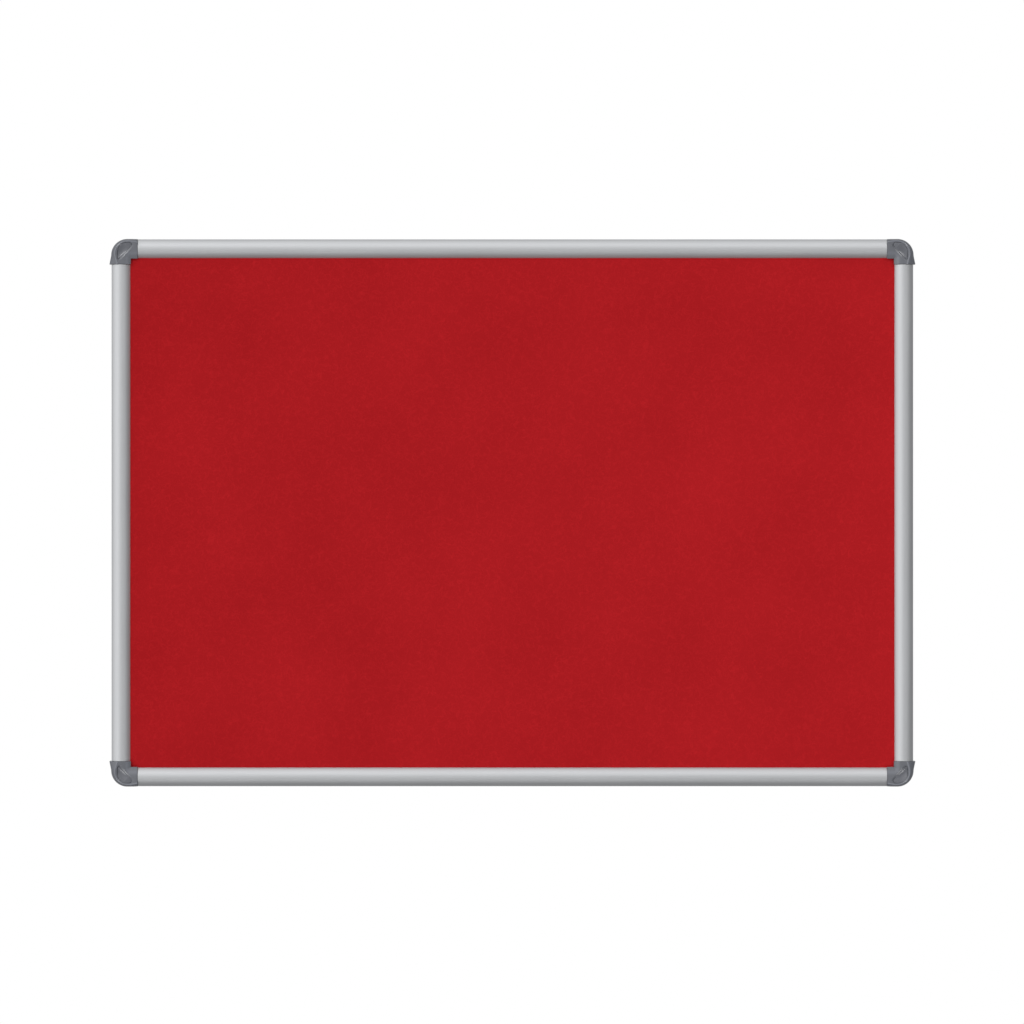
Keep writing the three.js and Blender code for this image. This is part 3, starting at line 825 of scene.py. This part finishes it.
def cap_section(reach, band, inset, bottom):
    outer = reach - inset
    ridge = reach - band - inset / 2
    valley = ridge - ridge_wide
    crest = ridge - crest_in
    bend = ridge + crest_out
    slope = band_slope_share * band_drop / (outer - bend)
    crest_drop = min(slope * (bend - crest) / 2, crest_drop_most)
    points = [(inset, bottom)]
    for step in range(edge_steps + 1):
        turn = math.pi / 2 * step / edge_steps
        drop = edge_round * (1 - math.sin(turn))
        points.append((inset + edge_round * (1 - math.cos(turn)), edge_top - inset - drop))
    for step in range(1, face_steps + 1):
        share = (step / face_steps) ** face_spacing
        rise = smooth_min(face_steep * share, 1 - face_dip * (1 - share) ** 2, face_blend)
        out = mix(inset + edge_round, valley, share)
        points.append((out, mix(edge_top, face_top, rise) - inset))
    for step in range(1, crest_steps + 1):
        share = step / crest_steps
        rise = share * share * (3 - 2 * share)
        points.append((mix(valley, crest, share), mix(face_top, ridge_top, rise) - inset))
    for step in range(1, crest_steps + 1):
        share = step / crest_steps
        points.append((mix(crest, bend, share), ridge_top - inset - crest_drop * share**2))
    for step in range(1, band_steps + 1):
        share = math.sin(math.pi / 2 * step / band_steps)
        fall = mix(1 - math.sqrt(1 - share**2), share, band_slope_share)
        drop = mix(crest_drop, band_drop, fall)
        points.append((mix(bend, outer, share), ridge_top - inset - drop))
    points.append((outer, bottom))
    return points


# %% [markdown]
# The sections stand along one leg, fan round the felt's corner, and stand along the other
# leg. From the top of the corner the band widens, slowly at first, so the ridge runs more
# and more towards the felt. At both ends the sections shrink a little, which rounds the
# ends.

# %% Place the sections
leg_steps = 8
corner_steps = 36
turn_power = 1.5  # how late the band widens round the corner
flare_power = 1.3  # and down the side leg


def reach_at(angle):
    """Distance from the inner corner to the rounded outline, in one direction."""
    across, up = math.cos(angle), math.sin(angle)
    square = (cap_out + cap_lap) / max(across, up)
    centre = cap_out - cap_round + cap_lap
    if min(across, up) * square <= centre:
        return square
    along = centre * (across + up)
    return along + math.sqrt(along**2 - 2 * centre**2 + cap_round**2)


def cap_rings(inset, bottom):
    rings = []
    pivot = -cap_lap
    square = cap_out + cap_lap

    def place(x, y, angle, reach, band, shrink=0.0):
        end_height = y + reach * math.sin(angle)
        spread = min(max((flare_from - end_height) / (flare_from + leg_down), 0), 1)
        band = mix(band, band_wide_down, spread**flare_power)
        section = cap_section(reach + flare * spread, band, inset + shrink, bottom)
        across, up = math.cos(angle), math.sin(angle)
        rings.append([(x + out * across, y + out * up, height) for out, height in section])

    def end_stations(last):
        """Steps along a leg as (share of the leg, shrink), with a rounded end."""
        span = abs(last - pivot)
        plain = [(step / leg_steps * (1 - end_round / span), 0) for step in range(1, leg_steps + 1)]
        if inset:
            return plain + [(1, 0)]
        rounds = [math.radians(turn) for turn in (30, 60, 90)]
        return plain + [
            (1 - end_round * (1 - math.sin(turn)) / span, end_round * (1 - math.cos(turn)))
            for turn in rounds
        ]

    for share, shrink in reversed(end_stations(inset - leg_across)):
        x = mix(pivot, inset - leg_across, share)
        band = mix(band_wide, band_wide_across, share)
        place(x, pivot, math.pi / 2, square - end_tuck * share**2, band, shrink)
    for step in range(corner_steps + 1):
        share = step / corner_steps
        angle = math.pi / 2 * (1 - share)
        band = mix(band_wide, band_wide_side, share**turn_power)
        place(pivot, pivot, angle, reach_at(angle), band)
    for share, shrink in end_stations(inset - leg_down):
        place(pivot, mix(pivot, inset - leg_down, share), 0, square, band_wide_side, shrink)
    return rings


# %% [markdown]
# Bridging joins each ring of points to the next with a band of faces. Both ends are
# closed with one face each, and points that fell on the same place are merged. Simple
# parts come from cones and cubes. A Boolean modifier joins and cuts them, and what it
# leaves is tidied at the end.

# %% Helpers for lofts and simple solids
def loft(rings):
    bm = bmesh.new()
    loops = []
    for ring in rings:
        verts = [bm.verts.new(point) for point in ring]
        loops.append([bm.edges.new(pair) for pair in zip(verts, verts[1:] + verts[:1])])
    for near, far in zip(loops, loops[1:]):
        bmesh.ops.bridge_loops(bm, edges=near + far)
    for end in (loops[0], loops[-1]):
        bmesh.ops.contextual_create(bm, geom=end)
    bmesh.ops.remove_doubles(bm, verts=bm.verts, dist=0.001)
    bmesh.ops.triangulate(bm, faces=[face for face in bm.faces if len(face.verts) > 4])
    bmesh.ops.recalc_face_normals(bm, faces=bm.faces)
    return bm


def rod(x, y, radius, bottom, top, top_radius=None):
    bm = bmesh.new()
    bmesh.ops.create_cone(
        bm,
        cap_ends=True,
        segments=48,
        radius1=radius,
        radius2=radius if top_radius is None else top_radius,
        depth=top - bottom,
        matrix=Matrix.Translation((x, y, (bottom + top) / 2)),
    )
    return bm


def block(low, high, turn=0.0, about=(0, 0)):
    """A box between two corners, turned in the plane of the wall about one point."""
    bm = bmesh.new()
    low, high = Vector(low), Vector(high)
    stretched = Matrix.Translation((low + high) / 2) @ Matrix.Diagonal((*(high - low), 1))
    bmesh.ops.create_cube(bm, size=1, matrix=stretched)
    place = Matrix.Translation((*about, 0)) @ Matrix.Rotation(turn, 4, "Z")
    bmesh.ops.transform(bm, matrix=place, verts=bm.verts)
    return bm


def combine(base, operation, *parts):
    """Joins parts to a solid, cuts them from it, or keeps what they share."""
    for part in parts:
        objects = []
        for bm in (base, part):
            mesh = bpy.data.meshes.new("working")
            bm.to_mesh(mesh)
            bm.free()
            objects.append(bpy.data.objects.new("working", mesh))
            scene.collection.objects.link(objects[-1])
        change = objects[0].modifiers.new("change", "BOOLEAN")
        change.operation = operation
        change.solver = "EXACT"
        change.object = objects[1]
        done = objects[0].evaluated_get(bpy.context.evaluated_depsgraph_get())
        base = bmesh.new()
        base.from_mesh(done.to_mesh())
        done.to_mesh_clear()
        for used in objects:
            mesh = used.data
            bpy.data.objects.remove(used)
            bpy.data.meshes.remove(mesh)
    return base


def tidy_solid(bm):
    """Merges what the cuts left on one place, and joins triangles that lie flat."""
    bmesh.ops.remove_doubles(bm, verts=bm.verts, dist=0.002)
    bmesh.ops.dissolve_limit(bm, angle_limit=math.radians(0.05), verts=bm.verts, edges=bm.edges)
    return bm


# %% [markdown]
# The half-moon cover sits in a pocket. Both take their shape from one outline: a round
# tip over the rail, an outer corner that follows the corner piece, a small foot, and a
# slanting edge that faces the felt.

# %% Draw the cover's outline
cover_top = 18.1  # from the felt that shows up to the outline's top edge
cover_side = 14.9  # and out to its straight side
cover_round = 11
tip_across = 0.7  # where the centre of the round tip lies
tip_round = 2.4
foot_across = 13.7  # where the centre of the small foot lies
foot_down = 0.3
foot_round = 1
cover_bulge = 1.2
slant = math.radians(225)  # the slanting edge looks this way, down towards the felt
slant_middle = (tip_across + foot_across - cover_top + tip_round - foot_down) / math.sqrt(8)
scoop_half_long = 16
curve_steps = 24
arc_spacing = 0.5
arc_steps_least = 8


def arc(centre, radius, first, last):
    steps = max(round(abs(last - first) * radius / arc_spacing), arc_steps_least)
    angles = [mix(first, last, step / steps) for step in range(steps)]
    return [Vector(centre) + radius * Vector((math.cos(turn), math.sin(turn))) for turn in angles]


def bow(first, pull, last):
    """A curve with its ends on two points, pulled towards a third."""
    first, pull, last = Vector(first), Vector(pull), Vector(last)
    shares = [step / curve_steps for step in range(curve_steps)]
    return [first.lerp(pull, share).lerp(pull.lerp(last, share), share) for share in shares]


def pocket_outline():
    towards = Vector((math.cos(slant), math.sin(slant)))
    tip = Vector((tip_across, cover_top - tip_round))
    foot = Vector((foot_across, -foot_down))
    round_from = Vector((cover_side - cover_round, cover_top - cover_round))
    slant_start = foot + towards * foot_round
    slant_end = tip + towards * tip_round
    middle = (slant_start + slant_end) / 2 + towards * cover_bulge
    top_middle = ((tip_across + round_from.x) / 2, cover_top)
    top_edge = bow((tip_across, cover_top), top_middle, (round_from.x, cover_top))
    side_start = (cover_side, round_from.y)
    return (
        top_edge
        + arc(round_from, cover_round, math.pi / 2, 0)
        + bow(side_start, (cover_side, foot_round), foot + Vector((foot_round, 0)))
        + arc(foot, foot_round, 0, slant - 2 * math.pi)
        + bow(slant_start, middle, slant_end)
        + arc(tip, tip_round, slant, math.pi / 2)
    )


def crescent(point, half_long, along_middle=0.0):
    """One in the middle of the slanting edge, falling to nought along it."""
    along = (point.x - point.y) / math.sqrt(2) - slant_middle - along_middle
    return max(1 - (along / half_long) ** 2, 0)


def draw_in(outline, distance, slant_extra=0.0):
    """The outline made smaller, or larger where the distance is negative. The extra
    distance is added on the side that faces the felt, and most in its middle."""
    moved = []
    for index, point in enumerate(outline):
        arrive = (point - outline[index - 1]).normalized()
        leave = (outline[(index + 1) % len(outline)] - point).normalized()
        middle = (arrive + leave).normalized()
        inward = Vector((middle.y, -middle.x))
        facing = max((inward.x + inward.y) / math.sqrt(2), 0)
        extra = slant_extra * facing**2 * crescent(point, scoop_half_long)
        moved.append(point + inward * (distance + extra))
    return moved


def at_height(outline, height):
    return [(point.x, point.y, height) for point in outline]


def slant_away(point):
    """Distance in from the bulging slanting edge of the pocket."""
    along = (point.x - point.y) / math.sqrt(2) - slant_middle
    half_edge = (foot_across - tip_across) / math.sqrt(2)
    bulge = cover_bulge / 2 * max(1 - (along / half_edge) ** 2, 0)
    chord = (tip_across + cover_top - tip_round) / math.sqrt(2) - tip_round
    return (point.x + point.y) / math.sqrt(2) - chord + bulge


outline = pocket_outline()
print("outline of the pocket:", len(outline), "points")


# %% [markdown]
# The pocket's rim is a soft slope that widens to a scoop along the slanting edge, where a
# fingertip gets at the cover. It lies deepest there, and climbs towards the far edge. A
# bevel has one width all round, so the shape that cuts the pocket is lofted instead, from
# outlines that grow as they rise.

# %% Shape what cuts the pocket
pocket_floor = 15.7
rim_low = 17.3  # height of the rim's foot at the slanting edge
rim_climb = 0.088  # millimetres up for each one away from the slanting edge
rim_wide = 0.6  # the slope's width all round
rim_steep = 1.15
rim_blend = 0.2
rim_steps = 12
scoop_wide = 3.6  # and in the middle of the slanting edge
cutter_margin = 0.1
cutter_step = 0.04
cutter_over = 2


def rim_height(point):
    return rim_low + rim_climb * max(slant_away(point), 0)


def pocket_cutter():
    rings = [at_height(outline, pocket_floor)]
    for step in range(rim_steps + 1):
        share = step / rim_steps
        rise = smooth_min(rim_steep * share, 1, rim_blend)
        edge = draw_in(outline, -rim_wide * share, (rim_wide - scoop_wide) * share)
        rings.append([
            (moved.x, moved.y, mix(rim_height(point), face_top, rise))
            for moved, point in zip(edge, outline)
        ])
    edge = draw_in(outline, -rim_wide - cutter_margin, rim_wide - scoop_wide - cutter_margin)
    rings.append(at_height(edge, face_top + cutter_step))
    rings.append(at_height(edge, ridge_top + cutter_over))
    return loft(rings)


print("highest place of the pocket's rim, mm:", round(max(map(rim_height, outline)), 2))


# %% [markdown]
# A tenon on each leg goes into the rail's chamber. It is a plug with a tapered tip, hollow
# behind to save plastic, and it has a solid block that the rail's screw bites into. Three
# bridged outlines make the plug, and two boxes and a rod cut it.

# %% Shape a tenon
gap = 0.3
tenon_long = 26
tenon_near = 8.9  # its two sides, from the felt that shows
tenon_far = 20.4
tenon_back = 3.1  # its back and front, from the wall
tenon_front = 12.3
tenon_lead = 5
tenon_taper = 1
tenon_wall = 1.6
tenon_root = 0.9  # how far it goes into the corner piece's own wall
screw_along = 18  # from the end of the rail to its screw
screw_block_half = 3.4
screw_hole_radius = 1.5
screw_hole_top = 9.5


def tenon(root):
    """A plug along -x that starts at a leg's end."""
    tip = root - gap - tenon_long

    def station(x, shrink):
        near, far = tenon_near + shrink, tenon_far - shrink
        under, over = tenon_back + shrink, tenon_front - shrink
        return [(x, near, under), (x, far, under), (x, far, over), (x, near, over)]

    lead = tip + tenon_lead
    plug = loft([station(root + tenon_root, 0), station(lead, 0), station(tip, tenon_taper)])
    screw_x = root - gap - screw_along
    for first, last in (
        (tip + tenon_wall + tenon_taper, screw_x - screw_block_half),
        (screw_x + screw_block_half, root - tenon_wall),
    ):
        hollow = block(
            (first, tenon_near + tenon_wall, tenon_back - overrun),
            (last, tenon_far - tenon_wall, tenon_front - tenon_wall),
        )
        plug = combine(plug, "DIFFERENCE", hollow)
    middle = (tenon_near + tenon_far) / 2
    hole = rod(screw_x, middle, screw_hole_radius, tenon_back - overrun, screw_hole_top)
    return combine(plug, "DIFFERENCE", hole)


def swap_legs(bm):
    """The same solid with x and y swapped."""
    swapped = Matrix(((0, 1, 0, 0), (1, 0, 0, 0), (0, 0, 1, 0), (0, 0, 0, 1)))
    bmesh.ops.transform(bm, matrix=swapped, verts=bm.verts)
    bmesh.ops.reverse_faces(bm, faces=bm.faces)
    return bm


print("tenon, mm:", tenon_long, "long and", round(tenon_far - tenon_near, 1), "wide")


# %% [markdown]
# Then the moulding is put together as its mould would have it: the outer form less the
# inner form leaves the wall, bosses and ribs are joined inside, and the pocket, the screw
# bore and the room for the panel's corner are cut. The inner parts end in the middle of
# the wall, because a Boolean fails where two skins lie on one place.

# %% Put the corner piece together
floor_thick = 1.3
peg_places = ((1.6, 14.7), (13.3, 3.0))
peg_radius = 0.8
peg_long = 3
bore_away = 10.5  # the wall screw's bore lies this far out and up from the felt's corner
bore_radius = 3
head_radius = 4.3
head_seat = 0.6
boss_wall = 1.35
rib_thick = 1.2
rib_foot = 1
rib_turns = (0.25, 0.88, -0.38)  # in half turns
panel_corner = 7.3
seat_wall = 1.3
panel_front = 12.4


def corner_piece():
    cap = combine(loft(cap_rings(0, 0)), "DIFFERENCE", loft(cap_rings(cap_wall, -overrun)))
    cup_floor = pocket_floor - floor_thick
    cup = draw_in(outline, -floor_thick)
    inside = loft([at_height(cup, cup_floor), at_height(cup, ridge_top)])
    seat = panel_corner + seat_wall
    rib_low = (0, -rib_thick / 2, rib_foot)
    rib_high = (cap_out, rib_thick / 2, pocket_floor)
    ribs = [
        block(rib_low, rib_high, math.pi * turn, about=(bore_away, bore_away))
        for turn in rib_turns
    ]
    sleeves = [
        rod(x, y, peg_radius + gap + boss_wall, cup_floor - peg_long, pocket_floor)
        for x, y in peg_places
    ]
    inside = combine(
        inside,
        "UNION",
        rod(bore_away, bore_away, head_radius + boss_wall, panel_front, pocket_floor),
        rod(bore_away, bore_away, bore_radius + boss_wall, 0, pocket_floor),
        block((-leg_across, panel_corner, 0), (seat, seat, pocket_floor)),
        block((panel_corner, -leg_down, 0), (seat, seat, pocket_floor)),
        *ribs,
        *sleeves,
    )
    inside = combine(inside, "INTERSECT", loft(cap_rings(cap_wall / 2, 0)))
    cap = combine(cap, "UNION", inside)
    reach = -leg_across - overrun
    cap = combine(
        cap,
        "DIFFERENCE",
        block((reach, reach, -overrun), (panel_corner, panel_corner, panel_front)),
        pocket_cutter(),
        rod(bore_away, bore_away, head_radius, panel_front + head_seat, pocket_floor + gap),
        rod(bore_away, bore_away, bore_radius, -overrun, pocket_floor),
        *[
            rod(x, y, peg_radius + gap, cup_floor - peg_long - overrun, pocket_floor + gap)
            for x, y in peg_places
        ],
    )
    return combine(cap, "UNION", tenon(-leg_across), swap_legs(tenon(-leg_down)))


corner_source = tidy_solid(corner_piece())
print("corner piece:", len(corner_source.faces), "faces")


# %% [markdown]
# The cover's slanting edge is a raised lip for the fingertip. From the lip the face falls
# away at the same angle as the scoop beside it, more and more gently, and then comes up
# again towards the far edge. So lip and scoop catch the light as two soft lines. The
# rings of the face are drawn in towards one point, and every vertex then gets its height
# from its distance to the slanting edge. Two pegs hold the cover in the pocket.

# %% Shape the cover
cover_gap = 0.1
cover_proud = 0.2  # how far its edge stands over the pocket's rim
cover_round_edge = 0.12
cover_bottom = 15.9
cover_chamfer = 0.15
cover_rings = 32
ring_spacing = 1.2  # the rings are closer together near the edge
peg_tip_radius = 0.6
peg_sunk = 0.3
lip_drop = 1.15
lip_wide = 4.1  # from the lip to the lowest place of the face
lip_half_long = 9.5
lip_along = 3.2  # the fall's middle lies this far from the slanting edge's, to the side
back_up = 11.5  # this far from the lip, the face is up again


def lip_fall(point):
    """How far the cover's face lies under the level of its edge."""
    away = max(slant_away(point) - cover_gap, 0)
    down = 1 - max(1 - away / lip_wide, 0) ** 2
    up = min(max((back_up - away) / (back_up - lip_wide), 0), 1)
    return lip_drop * down * (3 - 2 * up) * up**2 * crescent(point, lip_half_long, lip_along)


def cover_piece():
    edge = draw_in(outline, cover_gap)
    rings = [
        at_height(draw_in(edge, cover_chamfer), cover_bottom),
        at_height(edge, cover_bottom + cover_chamfer),
    ]
    for turn in (0, 45, 90):
        angle = math.radians(turn)
        under = cover_round_edge * (1 - math.sin(angle))
        ring = draw_in(edge, cover_round_edge * (1 - math.cos(angle)))
        level = cover_proud - under
        rings.append([(point.x, point.y, rim_height(point) + level) for point in ring])
    rim = draw_in(edge, cover_round_edge)
    centre = sum(edge, Vector((0, 0))) / len(edge)
    for step in range(1, cover_rings):
        ring = [point.lerp(centre, (step / cover_rings) ** ring_spacing) for point in rim]
        rings.append([
            (point.x, point.y, rim_height(point) + cover_proud - lip_fall(point)) for point in ring
        ])
    cover = loft(rings)
    pegs = [
        rod(x, y, peg_tip_radius, cover_bottom - peg_long, cover_bottom + peg_sunk, peg_radius)
        for x, y in peg_places
    ]
    return combine(cover, "UNION", *pegs)


cover_source = tidy_solid(cover_piece())
print("cover:", len(cover_source.faces), "faces")


# %% [markdown]
# Corner piece and cover are made once, and copied to the four corners. Two of the copies
# are mirrored, because the mould comes in two hands. Before that, the corner piece gets
# the attribute that marks its painted highlights, which the plastic's finish reads.

# %% Put them in the four corners
# A band of painted highlight runs along the inner edges: how far out, how wide and how strong.
highlight_band_away = 6.2
highlight_band_wide = 2.5
highlight_band_share = 0.6
highlight_band_squash = 1.4  # on the side rail the band lies this many times nearer the felt


def to_corner(source, across, up):
    """A copy at one corner of the felt. A mirrored copy has its faces turned over."""
    bm = source.copy()
    mirrored = across * up < 0
    hand = Matrix.Diagonal((-1 if mirrored else 1, 1, 1, 1))
    turn = Matrix.Rotation(0 if up > 0 else math.pi, 4, "Z")
    place = Matrix.Translation((across * felt_half_wide, 0, up * felt_half_high))
    stand = Matrix.Rotation(math.radians(90), 4, "X")
    moved = place @ stand @ turn @ hand @ Matrix.Scale(mm, 4)
    bmesh.ops.transform(bm, matrix=moved, verts=bm.verts)
    if mirrored:
        bmesh.ops.reverse_faces(bm, faces=bm.faces)
    return bm


def mark_painted_highlights(bm):
    """Marks a painted highlight on the crest of the ridge, the only place higher than the face,
    and a fainter one in a band along the inner edges."""
    rubbed = bm.verts.layers.float.new("rubbed")
    for vertex in bm.verts:
        above = (vertex.co.z - face_top) / (ridge_top - face_top)
        across = max(vertex.co.x + cap_lap, 0) * highlight_band_squash
        up = max(vertex.co.y + cap_lap, 0)
        off_band = (math.hypot(across, up) - highlight_band_away) / highlight_band_wide
        band = highlight_band_share * math.exp(-(off_band**2)) if vertex.co.z > edge_top else 0
        vertex[rubbed] = min(max(above, band, 0), 1)


mark_painted_highlights(corner_source)
for up_name, up in (("top", 1), ("bottom", -1)):
    for side_name, across in (("left", -1), ("right", 1)):
        corner = f"{up_name}_{side_name}"
        make_piece(
            f"{corner}_corner",
            to_corner(corner_source, across, up),
            corner_plastic,
            "board",
            [f"corner_cap_{corner}"],
            smooth_angle=24,
        )
        make_piece(
            f"{corner}_cover",
            to_corner(cover_source, across, up),
            cover_plastic,
            f"cover_{corner}",
            [f"screw_cover_{corner}"],
        )
corner_source.free()
cover_source.free()

# %% [markdown]
# ## The rail screws
# Two pan-head screws hold each corner piece in its rails. They sit behind, with their
# heads on the rails' backs. The shape of a screw is turned, so half its outline is spun
# once round, and the cross in its head is cut with two small bars. The thread is a row of
# rings and not a helix, because it sits inside a rail where nobody sees the difference.

# %% Turn one screw
screw_radius = 1.2
screw_long = 8
screw_point = 1.6
thread_from = 0.4
thread_pitch = 1.0
thread_depth = 0.22
head_wide = 2.8
head_high = 1.1
head_edge = 0.1
head_dome = ((1.1, 0), (1.9, 0.1), (2.5, 0.4), (head_wide, 0.8))  # out, and down from the top
recess_half_long = 1.3
recess_half_wide = 0.22
recess_deep = 0.75


def screw_solid():
    """A screw with its head's seat on z = 0 and its point towards +z."""
    bm = bmesh.new()
    first = bm.verts.new((0, 0, -head_high))
    profile = [(out, down - head_high) for out, down in head_dome]
    profile += [(head_wide, -head_edge), (head_wide - head_edge, 0), (screw_radius, 0)]
    turns = int((screw_long - screw_point) / thread_pitch)
    for index in range(turns):
        foot = thread_from + index * thread_pitch
        profile += [(screw_radius - thread_depth, foot), (screw_radius, foot + thread_pitch / 2)]
    profile += [(screw_radius - thread_depth, screw_long - screw_point)]
    vertex = first
    for out, height in profile:
        vertex = bmesh.ops.extrude_vert_indiv(bm, verts=[vertex])["verts"][0]
        vertex.co = (out, 0, height)
    vertex = bmesh.ops.extrude_vert_indiv(bm, verts=[vertex])["verts"][0]
    vertex.co = (0, 0, screw_long)
    bmesh.ops.spin(
        bm,
        geom=bm.verts[:] + bm.edges[:],
        cent=(0, 0, 0),
        axis=(0, 0, 1),
        angle=2 * math.pi,
        steps=32,
        use_merge=True,
        use_duplicate=False,
    )
    bmesh.ops.remove_doubles(bm, verts=bm.verts, dist=0.001)
    bmesh.ops.recalc_face_normals(bm, faces=bm.faces)
    put_in_order(bm)
    for turn in (0, math.pi / 2):
        bar = block(
            (-recess_half_long, -recess_half_wide, -head_high - overrun),
            (recess_half_long, recess_half_wide, -head_high + recess_deep),
            turn,
        )
        bm = combine(bm, "DIFFERENCE", bar)
    return bm


screw_source = tidy_solid(screw_solid())
for node_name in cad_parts:
    if node_name.startswith("rail_screw"):
        low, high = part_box(node_name)
        middle = (low + high) / 2
        seat = high.y - head_high * mm
        screw = screw_source.copy()
        place = Matrix.Translation((middle.x, seat, middle.z))
        stand = Matrix.Rotation(math.radians(90), 4, "X")
        moved = place @ stand @ Matrix.Scale(mm, 4)
        bmesh.ops.transform(screw, matrix=moved, verts=screw.verts)
        short = node_name.replace("rail_screw_", "")
        make_piece(f"{short}_screw", screw, steel, "board", [node_name])
screw_source.free()
